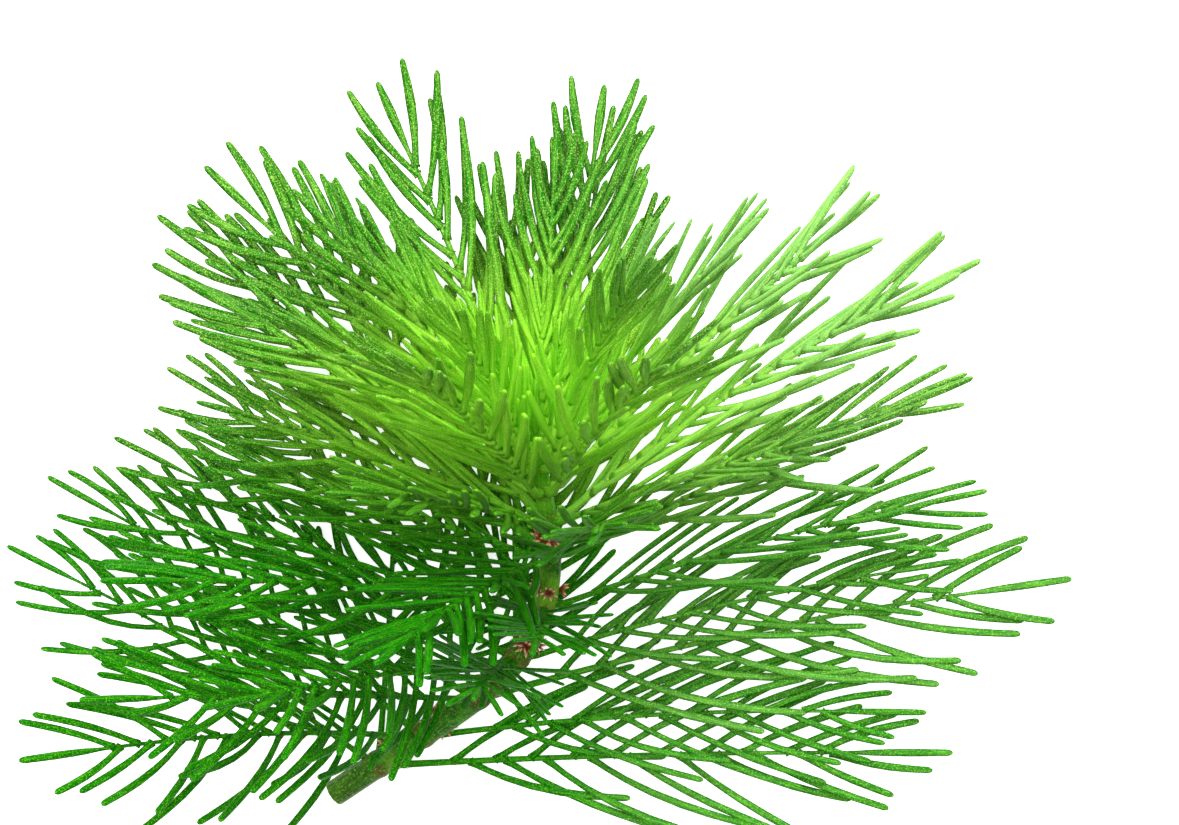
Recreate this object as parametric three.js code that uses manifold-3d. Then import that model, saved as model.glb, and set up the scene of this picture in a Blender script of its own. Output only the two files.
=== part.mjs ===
// One cut shoot of Matogrosso water milfoil, laid on its side on a table. Millimetres, +Z up.
// The shoot rises from its cut end on the table towards the growing tip at +Y. Feathery leaves stand
// round the stem in whorls: the oldest, by the cut end, are wide open, and the youngest are nearly
// closed round the tip. Leaves that would pass through the table bend and lie along it.

import * as THREE from "three";
import { mergeVertices } from "three/addons/utils/BufferGeometryUtils.js";
import Module from "manifold-3d";

const wasm = await Module();
wasm.setup();

// Stem: where its cut end stands, its length, thickness and the way it bends.
const CUT_END = new THREE.Vector3(-18.387, -28.068, 1.035);
const STEM_LENGTH = 44.5;
const STEM_RADIUS = 1.15;
const TIP_RADIUS = 0.5;
const CUT_HEADING = 55; // degrees right of +Y, seen from above
const TIP_HEADING = -8;
const CUT_RISE = 13; // degrees above the table
const TIP_RISE = 27;
const BEND_FROM = 0.28; // shares of the stem's length
const BEND_TO = 0.86;
const NODES = [0.6, 1.6, 3.1, 5.3, 8.3, 11.8, 16.9, 22.7, 28, 34.3, 39.4]; // below the growing tip

// Whorls, counted from the growing tip. Each leaf is given by its direction round the shoot, by how
// many degrees wider it opens than its whorl, and by its length against its whorl's. Direction 0
// faces up, 90 right (+X), 180 the table.
const WHORLS = [
  [[150], [60], [240], [330]],
  [[156, 0, 1.09], [69], [249], [335]],
  [[149, 0, 1.05], [79], [231], [295], [40, -8]],
  [[196, 0, 1.05], [90, 1, 1.05], [262], [336, -10], [30, -4]],
  [[219, 0, 1.08], [86, 0, 1.09], [268, 0, 0.78], [336, -4, 0.85], [50, 4, 0.9]],
  [[224, 0, 1.08], [68, -4], [182, 0, 0.85], [283, -4, 0.8], [338, 6, 0.9], [10, -10, 0.85]],
  [[90, 0, 0.88], [245, 0, 0.85], [180], [305], [0, -6, 0.75]],
  [[117, 0, 0.88], [262, 0, 0.85], [190], [352, -10, 0.75], [328]],
  [[129, 0, 1.18], [271, 0, 0.85], [180], [322]],
  [[254, 0, 0.85], [122, 0, 0.96], [175, -6], [320]],
  [[121, 0, 1.07], [262, 0, 0.8], [190]],
];
const OLDEST_PITCH = 90; // degrees between a leaf and the shoot's axis
const LEAF_LENGTH = 47;
const PITCH_GROWTH = [5, 1.1]; // the whorl that has about two thirds of it, and how sharply it grows
const LENGTH_GROWTH = [2.7, 1];
const CLOSED_OFFSET = 0.4; // how much further from the stem a closed leaf starts than an open one
const LEAF_ARCH = [9, 5]; // degrees that a leaf bends outwards from base to end, and their spread
const LEAF_SWAY = 7; // degrees that a leaf may bend sideways
const LENGTH_SPREAD = 0.03;
const AXIS_SHARE = 0.55; // how far a whorl's axis leans from its stem to the tip's direction
const SETTLING = 0.5; // how far the oldest leaves' faces turn from the shoot's axis to the sky
const SETTLING_FROM = 3; // the youngest whorl that settles

// Leaf: a midrib with side segments in pairs, and one at its end.
const MIDRIB_WIDTH = 0.95;
const MIDRIB_END_WIDTH = 0.6;
const MIDRIB_CORNERS = [0.6, -0.9]; // its flat face and its keel, in half widths off its middle
const SEGMENT_SPACING = 3.6;
const SEGMENT_LENGTH = 17;
const END_LENGTH = 0.52; // of the last segment, against the longest ones
const SEGMENT_ANGLE = [36, 5]; // degrees from the midrib, and their spread
const SEGMENT_CLOSING = 14; // degrees by which the smallest leaves' segments are more closed
const SEGMENT_CURL = 13; // degrees that a segment turns towards the leaf's end
const CURL_SPREAD = 0.6;
const REACH_SPREAD = 0.1;
const SEGMENT_BASE_WIDTH = 0.75;
const SEGMENT_WIDTH = 0.9;
const BARE_STALK = 4.2;
const SMALL_LEAF = 0.3; // what a leaf of no size keeps of the bare stalk
const SMALL_PITCH = 0.42; // and of the segments' spacing
const SMALL_THICKNESS = 0.62; // and of the widths

// Scales: a small fan of them stands on the stem above each grown leaf.
const SCALES_FROM = 6; // the youngest whorl with scales
const FAN_RISE = [1.6, 2.7]; // above the whorl, at its foot and at its end
const FAN_WIDTH = [0.7, 1.3];
const FAN_THICKNESS = [0.5, 0.12];
const FAN_ROOT = 0.35; // into the stem
const FAN_REACH = 0.9; // off the stem's surface

// Growing tip: closed young leaves that lean out a little from the stem's direction.
const TIP_LEAVES = 7;
const TIP_LENGTH = [6.5, 1.2]; // and its spread
const TIP_LEAN = [7, 2]; // degrees, and their spread
const TIP_RING = 0.18;
const TIP_HALF_WIDTH = [0.3, 0.08];

// Lying on the table: each whorl's pressed leaves lie above those of the next older whorl.
const LOWEST_LEVEL = 0.1;
const LEVEL_STEP = 0.95;
const PRESS_DEPTH = 7; // height over which a falling leaf levels out
const PRESSING_FALL = 0.3; // how steeply a leaf has to fall for the table to turn it flat

const JOINT_GAP = 0.38; // between the stem and each leaf
const STEM_STEPS = 108;
const MIDRIB_STEPS = 40;
const SEGMENT_STEPS = 8;
const OLDEST = WHORLS.length;
const UP = new THREE.Vector3(0, 0, 1);

const radians = THREE.MathUtils.degToRad;
const mix = THREE.MathUtils.lerp;
const grown = (age, [scale, power]) => 1 - Math.exp(-Math.pow(age / scale, power));
const smooth = (x) => THREE.MathUtils.smoothstep(x, 0, 1);

// A repeatable number from -1 to 1 for each seed, for the small differences between leaves.
function vary(seed) {
  const x = Math.sin(seed * 12.9898) * 43758.5453;
  return (x - Math.floor(x)) * 2 - 1;
}

// The part of a vector that stands square to a direction, at unit length.
function square(vector, direction) {
  return vector.clone().addScaledVector(direction, -vector.dot(direction)).normalize();
}

// The way that a leaf's upper face looks. An older leaf settles part of the way to level under its
// own weight, and one that the table presses turns flat on it.
function facing(face, direction, settled, pressed) {
  return square(face.clone().lerp(UP, mix(settled, 1, pressed)), direction);
}

// A path walked in equal steps. heading(share) gives its direction, and a path that falls towards
// the level turns along it. Pressed says how far the table has turned it, from 0 to 1.
function walk(start, length, steps, level, heading) {
  const points = [start.clone()];
  const directions = [];
  const pressed = [];
  for (let i = 0; i < steps; i++) {
    const at = points[i];
    const direction = heading((i + 0.5) / steps);
    const free = smooth((at.z - level) / PRESS_DEPTH);
    pressed.push((1 - free) * smooth(-direction.z / PRESSING_FALL));
    if (direction.z < 0) {
      direction.z *= free;
      direction.normalize();
    }
    directions.push(direction);
    points.push(at.clone().addScaledVector(direction, length / steps));
  }
  directions.push(directions[steps - 1]);
  pressed.push(pressed[steps - 1]);
  return { points, directions, pressed, length };
}

function along(path, share) {
  const place = THREE.MathUtils.clamp(share, 0, 1) * (path.points.length - 1);
  const i = Math.min(Math.floor(place), path.points.length - 2);
  return {
    point: path.points[i].clone().lerp(path.points[i + 1], place - i),
    direction: path.directions[i].clone().lerp(path.directions[i + 1], place - i).normalize(),
    pressed: mix(path.pressed[i], path.pressed[i + 1], place - i),
  };
}

// The stem's middle line, from the cut end to the growing point.
const stem = walk(CUT_END, STEM_LENGTH, STEM_STEPS, 0, (share) => {
  const turn = smooth((share - BEND_FROM) / (BEND_TO - BEND_FROM));
  const heading = radians(mix(CUT_HEADING, TIP_HEADING, turn));
  const rise = radians(mix(CUT_RISE, TIP_RISE, turn));
  return new THREE.Vector3(
    Math.sin(heading) * Math.cos(rise),
    Math.cos(heading) * Math.cos(rise),
    Math.sin(rise),
  );
});
const tip = along(stem, 1);
const stemShare = (age) => 1 - NODES[age - 1] / STEM_LENGTH;
const stemRadius = (share) => mix(STEM_RADIUS, TIP_RADIUS, Math.pow(share, 3));

// What the leaves of one whorl have in common.
function whorl(age) {
  const share = stemShare(age);
  const { point, direction } = along(stem, share);
  const axis = direction.clone().lerp(tip.direction, AXIS_SHARE).normalize();
  const up = square(UP, axis);
  const pitch = OLDEST_PITCH * grown(age, PITCH_GROWTH);
  return {
    centre: point,
    axis,
    up,
    right: axis.clone().cross(up),
    radius: stemRadius(share) + JOINT_GAP + CLOSED_OFFSET * Math.cos(radians(pitch)),
    level: LOWEST_LEVEL + LEVEL_STEP * (OLDEST - age),
    settled: SETTLING * smooth((age - SETTLING_FROM) / (OLDEST - SETTLING_FROM)),
    pitch,
    length: LEAF_LENGTH * grown(age, LENGTH_GROWTH),
  };
}

// How long the segments are along a leaf, against the longest: they swell to a little before its
// middle and shorten towards its end.
function outline(share) {
  const swell = 0.62 + 0.38 * Math.sin(Math.PI * (0.16 + 0.78 * share));
  return swell * (1 - 0.3 * Math.pow(share, 3));
}

// One leaf: the paths of its midrib and segments, and the direction that its upper face looks.
function leaf(ring, [azimuth, open = 0, stretch = 1], seed) {
  const turn = radians(azimuth);
  const radial = ring.up.clone().multiplyScalar(Math.cos(turn)).addScaledVector(ring.right, Math.sin(turn));
  const aside = ring.axis.clone().cross(radial);
  const pitch = radians(ring.pitch + open);
  const arch = radians(LEAF_ARCH[0] + LEAF_ARCH[1] * vary(seed + 2));
  const sway = radians(LEAF_SWAY * vary(seed + 3));
  const length = ring.length * stretch * (1 + LENGTH_SPREAD * vary(seed + 4));
  const size = length / LEAF_LENGTH;
  const base = ring.centre.clone().addScaledVector(radial, ring.radius);
  const face = ring.axis
    .clone()
    .multiplyScalar(Math.sin(pitch))
    .addScaledVector(radial, -Math.cos(pitch));

  const reach = SEGMENT_LENGTH * Math.pow(size, 0.8);
  const endLength = END_LENGTH * reach;
  const midrib = walk(base, length - endLength, MIDRIB_STEPS, ring.level, (share) => {
    const bent = pitch + arch * (share - 0.4);
    return ring.axis
      .clone()
      .multiplyScalar(Math.cos(bent))
      .addScaledVector(radial, Math.sin(bent))
      .multiplyScalar(Math.cos(sway * share))
      .addScaledVector(aside, Math.sin(sway * share));
  });

  const bare = (BARE_STALK * mix(SMALL_LEAF, 1, size)) / midrib.length;
  const spacing = SEGMENT_SPACING * mix(SMALL_PITCH, 1, size);
  const count = Math.round((midrib.length * (1 - bare)) / spacing);
  const pairs = [];
  for (let i = 0; i < count; i++) {
    const share = bare + ((1 - bare) * (i + 0.4)) / count;
    const { point, direction, pressed } = along(midrib, share);
    const across = direction.clone().cross(facing(face, direction, ring.settled, pressed));
    const [left, right] = [-1, 1].map((hand) => {
      const own = seed + 10 + i * 2 + hand / 2;
      const closing = SEGMENT_CLOSING * (1 - size);
      const spread = radians(SEGMENT_ANGLE[0] - closing + SEGMENT_ANGLE[1] * vary(own));
      const curl = radians(SEGMENT_CURL * (1 + CURL_SPREAD * vary(own + 0.1)));
      const long = reach * outline(share) * (1 + REACH_SPREAD * vary(own + 0.2));
      return walk(point, long, SEGMENT_STEPS, ring.level, (part) => {
        const angle = spread - curl * part;
        return direction
          .clone()
          .multiplyScalar(Math.cos(angle))
          .addScaledVector(across, hand * Math.sin(angle));
      });
    });
    pairs.push({ share, left, right });
  }
  const last = along(midrib, 1);
  const end = walk(last.point, endLength, SEGMENT_STEPS, ring.level, () => last.direction.clone());
  const thickness = mix(SMALL_THICKNESS, 1, size);
  return { base, face, settled: ring.settled, midrib, pairs, end, thickness };
}

// A closed geometry as a solid. Faces that have shrunk to a line are dropped.
function solid(faces) {
  const merged = mergeVertices(new THREE.BufferGeometry().setFromPoints(faces), 1e-4);
  const index = merged.index.array;
  const kept = [];
  for (let i = 0; i < index.length; i += 3) {
    const [a, b, c] = index.slice(i, i + 3);
    if (a !== b && b !== c && c !== a) kept.push(a, b, c);
  }
  return new wasm.Manifold(
    new wasm.Mesh({
      numProp: 3,
      vertProperties: merged.attributes.position.array,
      triVerts: new Uint32Array(kept),
    }),
  );
}

// A closed skin over cross-sections with equal numbers of corners, which run anticlockwise seen
// from behind the first one.
function skin(sections) {
  const corners = sections[0].length;
  const faces = [];
  for (let s = 0; s + 1 < sections.length; s++) {
    for (let c = 0; c < corners; c++) {
      const d = (c + 1) % corners;
      const [p, q, r, t] = [sections[s][c], sections[s][d], sections[s + 1][d], sections[s + 1][c]];
      faces.push(p, t, r, p, r, q);
    }
  }
  const last = sections[sections.length - 1];
  for (let c = 1; c + 1 < corners; c++) {
    faces.push(sections[0][0], sections[0][c], sections[0][c + 1]);
    faces.push(last[0], last[c + 1], last[c]);
  }
  return solid(faces);
}

// The closed skin of a leaf. Its midrib is three-cornered, flat on its upper face, and each segment
// grows out of a short length of one of its sides to a thin blunt end.
function leafSolid({ face, settled, midrib, pairs, end, thickness }) {
  const faces = [];
  const quad = (a, b, c, d) => faces.push(a, b, c, a, c, d);
  const section = (share) => {
    const { point, direction, pressed } = along(midrib, share);
    const up = facing(face, direction, settled, pressed);
    const side = direction.clone().cross(up);
    const half = (thickness * mix(MIDRIB_WIDTH, MIDRIB_END_WIDTH, share)) / 2;
    const corner = (x, y) => point.clone().addScaledVector(side, x * half).addScaledVector(up, y * half);
    const [flat, keel] = MIDRIB_CORNERS;
    return [corner(-1, flat), corner(1, flat), corner(0, keel)];
  };
  const blunt = (path, forward) => {
    const point = path.points[path.points.length - 1];
    const across = square(forward, point.clone().sub(path.points[0]).normalize());
    const half = (thickness * SEGMENT_WIDTH) / 2;
    return [point.clone().addScaledVector(across, -half), point.clone().addScaledVector(across, half)];
  };

  let [left, right, under] = section(0);
  faces.push(left, under, right);
  const grow = (share, leftPath, rightPath) => {
    const [nextLeft, nextRight, nextUnder] = section(share);
    const forward = nextUnder.clone().sub(under);
    quad(left, right, nextRight, nextLeft);
    if (leftPath) {
      const [rear, fore] = blunt(leftPath, forward);
      quad(left, nextLeft, fore, rear);
      quad(under, rear, fore, nextUnder);
      faces.push(left, rear, under, nextLeft, nextUnder, fore);
    } else {
      quad(left, nextLeft, nextUnder, under);
    }
    if (rightPath) {
      const [rear, fore] = blunt(rightPath, forward);
      quad(right, rear, fore, nextRight);
      quad(under, nextUnder, fore, rear);
      faces.push(right, under, rear, nextRight, fore, nextUnder);
    } else {
      quad(right, under, nextUnder, nextRight);
    }
    [left, right, under] = [nextLeft, nextRight, nextUnder];
  };
  const half = (thickness * SEGMENT_BASE_WIDTH) / 2 / midrib.length;
  for (const pair of pairs) {
    grow(pair.share - half);
    grow(pair.share + half, pair.left, pair.right);
  }
  grow(1);
  const [endLeft, endRight] = blunt(end, right.clone().sub(left));
  quad(left, right, endRight, endLeft);
  faces.push(left, endLeft, under, right, under, endRight, under, endLeft, endRight);
  return solid(faces);
}

// A scale fan, by its whorl and the direction of its leaf round the shoot.
function fanSolid(age, azimuth) {
  const ring = whorl(age);
  const share = stemShare(age);
  const { direction } = along(stem, share);
  const turn = radians(azimuth);
  const out = square(
    ring.up.clone().multiplyScalar(Math.cos(turn)).addScaledVector(ring.right, Math.sin(turn)),
    direction,
  );
  const side = direction.clone().cross(out);
  const off = [stemRadius(share) - FAN_ROOT, stemRadius(share) + FAN_REACH];
  return skin(
    [0, 1].map((end) => {
      const middle = ring.centre
        .clone()
        .addScaledVector(direction, FAN_RISE[end])
        .addScaledVector(out, off[end]);
      return [[-1, 1], [1, 1], [1, -1], [-1, -1]].map(([x, y]) =>
        middle
          .clone()
          .addScaledVector(side, (x * FAN_WIDTH[end]) / 2)
          .addScaledVector(direction, (y * FAN_THICKNESS[end]) / 2),
      );
    }),
  );
}

// The stem: eight-sided, tapering to the growing point, cut straight across at its foot, with the
// scale fans on it.
function stemSolid() {
  const sides = 8;
  const stations = [0];
  for (let age = OLDEST; age > 4; age--) stations.push(stemShare(age));
  stations.push(stemShare(3), 1);
  const bare = skin(
    stations.map((share) => {
      const { point, direction } = along(stem, share);
      const up = square(UP, direction);
      const right = direction.clone().cross(up);
      return Array.from({ length: sides }, (_, c) => {
        const turn = ((c + 0.5) / sides) * 2 * Math.PI;
        return point
          .clone()
          .addScaledVector(right, stemRadius(share) * Math.cos(turn))
          .addScaledVector(up, stemRadius(share) * Math.sin(turn));
      });
    }),
  );
  const fans = [];
  for (let age = SCALES_FROM; age <= OLDEST; age++) {
    for (const [azimuth] of WHORLS[age - 1]) fans.push(fanSolid(age, azimuth));
  }
  return wasm.Manifold.union([bare, ...fans]);
}

// The growing tip: a cluster of closed young leaves on the end of the stem.
function tipSolid() {
  const start = tip.point.clone().addScaledVector(tip.direction, JOINT_GAP);
  const up = square(UP, tip.direction);
  const right = tip.direction.clone().cross(up);
  const made = [];
  for (let i = 0; i < TIP_LEAVES; i++) {
    const turn = (i / TIP_LEAVES) * 2 * Math.PI;
    const radial = up.clone().multiplyScalar(Math.cos(turn)).addScaledVector(right, Math.sin(turn));
    const lean = radians(TIP_LEAN[0] + TIP_LEAN[1] * vary(i + 400));
    const heading = tip.direction
      .clone()
      .multiplyScalar(Math.cos(lean))
      .addScaledVector(radial, Math.sin(lean));
    const from = start.clone().addScaledVector(radial, TIP_RING);
    const to = from.clone().addScaledVector(heading, TIP_LENGTH[0] + TIP_LENGTH[1] * vary(i + 420));
    const out = square(radial, heading);
    const side = heading.clone().cross(out);
    made.push(
      skin(
        [from, to].map((point, end) =>
          [[-1, -1], [1, -1], [1, 1], [-1, 1]].map(([x, y]) =>
            point
              .clone()
              .addScaledVector(side, x * TIP_HALF_WIDTH[end])
              .addScaledVector(out, y * TIP_HALF_WIDTH[end]),
          ),
        ),
      ),
    );
  }
  return wasm.Manifold.union(made);
}

function piece(name, shape, place, material) {
  const made = shape.getMesh();
  const geometry = new THREE.BufferGeometry();
  geometry.setAttribute("position", new THREE.BufferAttribute(made.vertProperties, 3));
  geometry.setIndex(new THREE.BufferAttribute(made.triVerts, 1));
  geometry.translate(-place.x, -place.y, -place.z);
  geometry.computeVertexNormals();
  const mesh = new THREE.Mesh(geometry, material);
  mesh.name = name;
  mesh.position.copy(place);
  return mesh;
}

const plain = (color) => new THREE.MeshStandardMaterial({ color, roughness: 0.5, metalness: 0 });
const youngGreen = new THREE.Color(0x8fe03a);
const oldGreen = new THREE.Color(0x1f6e12);

const shoot = new THREE.Group();
shoot.add(piece("stem", stemSolid(), CUT_END, plain(0x3f7d1c)));
shoot.add(piece("growing_tip", tipSolid(), tip.point, plain(youngGreen)));
WHORLS.forEach((leaves, index) => {
  const age = index + 1;
  const ring = whorl(age);
  const green = youngGreen.clone().lerp(oldGreen, smooth((age - 1) / 8));
  leaves.forEach((given, i) => {
    const made = leaf(ring, given, age * 200 + i * 40);
    const name = `whorl_${String(age).padStart(2, "0")}_leaf_${i + 1}`;
    shoot.add(piece(name, leafSolid(made), made.base, plain(green)));
  });
});

export default shoot;
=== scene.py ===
# The looks of one cut shoot of Matogrosso water milfoil, laid on its side on a pale table. Metres, in
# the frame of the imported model. Each leaf follows the same growth as its solid, with every segment
# rounded, tapered and curved.

import math

import bpy
from mathutils import Color, Matrix, Vector


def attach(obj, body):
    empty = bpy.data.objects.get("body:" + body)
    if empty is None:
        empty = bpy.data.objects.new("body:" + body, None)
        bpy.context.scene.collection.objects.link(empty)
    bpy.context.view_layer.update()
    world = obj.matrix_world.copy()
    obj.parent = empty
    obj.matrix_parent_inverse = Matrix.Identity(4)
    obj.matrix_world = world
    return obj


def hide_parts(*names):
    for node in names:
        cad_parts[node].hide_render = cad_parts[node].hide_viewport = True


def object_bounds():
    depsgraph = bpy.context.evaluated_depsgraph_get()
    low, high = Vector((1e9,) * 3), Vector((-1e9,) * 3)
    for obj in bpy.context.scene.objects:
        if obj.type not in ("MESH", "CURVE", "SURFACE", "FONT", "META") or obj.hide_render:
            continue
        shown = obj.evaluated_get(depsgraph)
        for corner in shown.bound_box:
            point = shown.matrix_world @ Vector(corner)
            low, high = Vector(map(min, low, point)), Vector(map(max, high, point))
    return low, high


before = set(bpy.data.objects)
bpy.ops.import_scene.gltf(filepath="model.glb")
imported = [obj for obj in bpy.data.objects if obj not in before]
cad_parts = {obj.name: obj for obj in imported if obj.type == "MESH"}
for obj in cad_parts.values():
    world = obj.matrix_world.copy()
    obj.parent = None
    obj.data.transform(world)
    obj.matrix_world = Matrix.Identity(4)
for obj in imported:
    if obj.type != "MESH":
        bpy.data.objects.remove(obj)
cad_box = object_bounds()

# The stem: soft green tissue about 2 mm thick, a little swollen where each whorl of leaves stands and
# ridged down its length. It grew bent towards the light, and is cut square at its foot, where the
# ring of air channels inside it shows.
MM = 0.001
UP = Vector((0, 0, 1))
TABLE_GAP = 0.02 * MM
CUT_END = Vector((-18.387, -28.068, 1.035)) * MM
STEM_LENGTH = 44.5 * MM
STEM_RADIUS = 1.15 * MM
TIP_RADIUS = 0.5 * MM
CUT_HEADING = 55  # degrees right of +Y, seen from above
TIP_HEADING = -8
CUT_RISE = 13  # degrees above the table
TIP_RISE = 27
BEND_FROM = 0.28  # shares of the stem's length
BEND_TO = 0.86
BELOW_TIP = [0.6, 1.6, 3.1, 5.3, 8.3, 11.8, 16.9, 22.7, 28, 34.3, 39.4]  # mm from each whorl to the tip
PRESS_DEPTH = 7 * MM  # height over which a falling leaf levels out
PRESSING_FALL = 0.3  # how steeply a leaf has to fall for the table to turn it flat
STEM_STEPS = 108
STEM_SIDES = 40
STEM_RINGS = 241
FIRST_RING = 0.4  # of the rings' spacing, from the cut end
SWELLS_FROM = 4  # the youngest whorl with a swollen node
SWELLING = 0.13  # of the radius, at a whorl
SWELLING_LENGTH = 0.55 * MM
RIDGES = 10
RIDGE_DEPTH = 0.025  # of the radius
CHANNEL_DEPTH = 0.7 * MM
CUT_FACE = [  # each ring's share of the stem's radius and of the channels' depth, from the middle out
    (0.3, 0), (0.4, 0), (0.44, 1), (0.62, 1), (0.78, 1), (0.83, 0), (0.95, 0), (0.99, 0)
]


def smooth(x):
    x = min(max(x, 0), 1)
    return x * x * (3 - 2 * x)


def mix(a, b, share):
    return a + (b - a) * share


def square(vector, direction):
    """The part of a vector that stands square to a direction, one long."""
    return (vector - direction * vector.dot(direction)).normalized()


class Path:
    """A line walked in equal steps. heading(share) gives its direction, and a path that falls towards
    the level turns along it. Pressed says how far the table has turned it, from 0 to 1."""

    def __init__(self, start, length, steps, level, heading):
        self.length = length
        self.points = [start.copy()]
        self.directions = []
        self.pressed = []
        for i in range(steps):
            direction = heading((i + 0.5) / steps)
            free = smooth((self.points[i].z - level) / PRESS_DEPTH)
            self.pressed.append((1 - free) * smooth(-direction.z / PRESSING_FALL))
            if direction.z < 0:
                direction.z *= free
                direction.normalize()
            self.directions.append(direction)
            self.points.append(self.points[i] + direction * (length / steps))
        self.directions.append(self.directions[-1])
        self.pressed.append(self.pressed[-1])

    def step(self, share):
        """The step that a share of the way falls in, and how far along that step it is."""
        place = min(max(share, 0), 1) * (len(self.points) - 1)
        i = min(int(place), len(self.points) - 2)
        return i, place - i

    def at(self, share):
        i, part = self.step(share)
        point = self.points[i].lerp(self.points[i + 1], part)
        return point, self.directions[i].lerp(self.directions[i + 1], part).normalized()

    def facing(self, share, face, settled):
        """The way that the upper face looks. An older leaf settles part of the way to level under its
        own weight, and one that the table presses turns flat on it."""
        i, part = self.step(share)
        pressed = mix(self.pressed[i], self.pressed[i + 1], part)
        return square(face.lerp(UP, mix(settled, 1, pressed)), self.at(share)[1])

    def begin_at(self, root):
        self.directions.insert(0, (self.points[0] - root).normalized())
        self.points.insert(0, root)
        self.pressed.insert(0, self.pressed[0])

    def run_on(self, following, steps):
        for i in range(1, steps + 1):
            point, direction = following.at(i / steps)
            self.points.append(point)
            self.directions.append(direction)
            self.pressed.append(self.pressed[-1])


class Tissue:
    """The skin of one piece while it is made: points, faces, and marks that its finish reads."""

    def __init__(self):
        self.points = []
        self.faces = []
        self.marks = {}

    def add(self, point, **marks):
        self.points.append(Vector((point.x, point.y, max(point.z, TABLE_GAP))))
        for name, value in marks.items():
            self.marks.setdefault(name, []).append(value)
        return len(self.points) - 1

    def join(self, rings):
        for ring, following in zip(rings, rings[1:]):
            for k in range(len(ring)):
                after = (k + 1) % len(ring)
                self.faces.append((ring[after], ring[k], following[k], following[after]))

    def fan(self, ring, point):
        for k in range(len(ring)):
            self.faces.append((ring[(k + 1) % len(ring)], ring[k], point))

    def piece(self, name, finish, slot, replaced=()):
        mesh = bpy.data.meshes.new(name)
        mesh.from_pydata(self.points, [], self.faces)
        mesh.polygons.foreach_set("use_smooth", [True] * len(mesh.polygons))
        for mark, values in self.marks.items():
            mesh.attributes.new(mark, "FLOAT", "POINT").data.foreach_set("value", values)
        mesh.materials.append(finish)
        mesh.update()
        made = bpy.data.objects.new(name, mesh)
        bpy.context.scene.collection.objects.link(made)
        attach(made, "root")
        if replaced:
            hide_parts(*replaced)


class Wire:
    """A shader socket that adds Math nodes when it is used in an expression."""

    def __init__(self, finish, socket):
        self.finish = finish
        self.socket = socket

    def maths(self, operation, *values):
        return self.finish.node("Math", {"operation": operation}, dict(enumerate(values)))

    def __add__(self, other):
        return self.maths("ADD", self, other)

    def __radd__(self, other):
        return self.maths("ADD", other, self)

    def __sub__(self, other):
        return self.maths("SUBTRACT", self, other)

    def __rsub__(self, other):
        return self.maths("SUBTRACT", other, self)

    def __mul__(self, other):
        return self.maths("MULTIPLY", self, other)

    def __rmul__(self, other):
        return self.maths("MULTIPLY", other, self)

    def __pow__(self, other):
        return self.maths("POWER", self, other)

    def __abs__(self):
        return self.maths("ABSOLUTE", self)

    def between(self, low, high):
        """0 at low and 1 at high, with a smooth step between them."""
        limits = {"Value": self, "From Min": low, "From Max": high}
        return self.finish.node("MapRange", {"interpolation_type": "SMOOTHSTEP"}, limits)


class Finish:
    """A material of one surface, built up from nodes."""

    def __init__(self, name, **constants):
        self.material = bpy.data.materials.new(name)
        self.material.use_nodes = True
        self.tree = self.material.node_tree
        self.shader = self.tree.nodes["Principled BSDF"]
        for socket, value in constants.items():
            self.shader.inputs[socket.replace("_", " ")].default_value = value

    def node(self, kind, settings, sockets, output=0):
        made = self.tree.nodes.new("ShaderNode" + kind)
        for name, value in settings.items():
            setattr(made, name, value)
        for name, value in sockets.items():
            if isinstance(value, Wire):
                self.tree.links.new(value.socket, made.inputs[name])
            else:
                made.inputs[name].default_value = value
        return Wire(self, made.outputs[output])

    def mark(self, name):
        return self.node("Attribute", {"attribute_name": name}, {}, "Fac")

    def noise(self, scale, detail=2):
        place = self.node("TexCoord", {}, {}, "Object")
        return self.node("TexNoise", {}, {"Vector": place, "Scale": scale, "Detail": detail})

    def streaks(self, across, upper, run, scale):
        """Noise drawn out along a stem or a segment, which a run with a low factor makes long."""
        place = self.node("CombineXYZ", {}, {0: across, 1: upper, 2: run})
        return self.node("TexNoise", {}, {"Vector": place, "Scale": scale, "Detail": 2.0})

    def blend(self, share, a, b):
        factor, first, second, result = 0, 6, 7, 2  # the colour sockets of a Mix node
        return self.node("Mix", {"data_type": "RGBA"}, {factor: share, first: a, second: b}, result)

    def wear(self, color, roughness, height, depth):
        normal = self.node("Bump", {}, {"Strength": 1.0, "Distance": depth, "Height": height})
        for socket, wire in (("Base Color", color), ("Roughness", roughness), ("Normal", normal)):
            self.tree.links.new(wire.socket, self.shader.inputs[socket])
        return self.material


def paint(red, green, blue):
    return (*Color((red / 255, green / 255, blue / 255)).from_srgb_to_scene_linear(), 1)


def stem_heading(share):
    turn = smooth((share - BEND_FROM) / (BEND_TO - BEND_FROM))
    heading = math.radians(mix(CUT_HEADING, TIP_HEADING, turn))
    rise = math.radians(mix(CUT_RISE, TIP_RISE, turn))
    level = math.cos(rise)
    return Vector((math.sin(heading) * level, math.cos(heading) * level, math.sin(rise)))


def stem_share(age):
    return 1 - BELOW_TIP[age - 1] * MM / STEM_LENGTH


def stem_radius(share):
    return mix(STEM_RADIUS, TIP_RADIUS, share**3)


stem = Path(CUT_END, STEM_LENGTH, STEM_STEPS, 0, stem_heading)
tip_point, tip_direction = stem.at(1)
AGES = range(1, len(BELOW_TIP) + 1)  # of the whorls, the youngest first


def at_whorl(share):
    """How near to a swollen whorl a place on the stem is, from 0 to 1."""
    off = [(share - stem_share(age)) * STEM_LENGTH / SWELLING_LENGTH for age in AGES[SWELLS_FROM - 1 :]]
    return max(math.exp(-x * x) for x in off)


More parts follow.
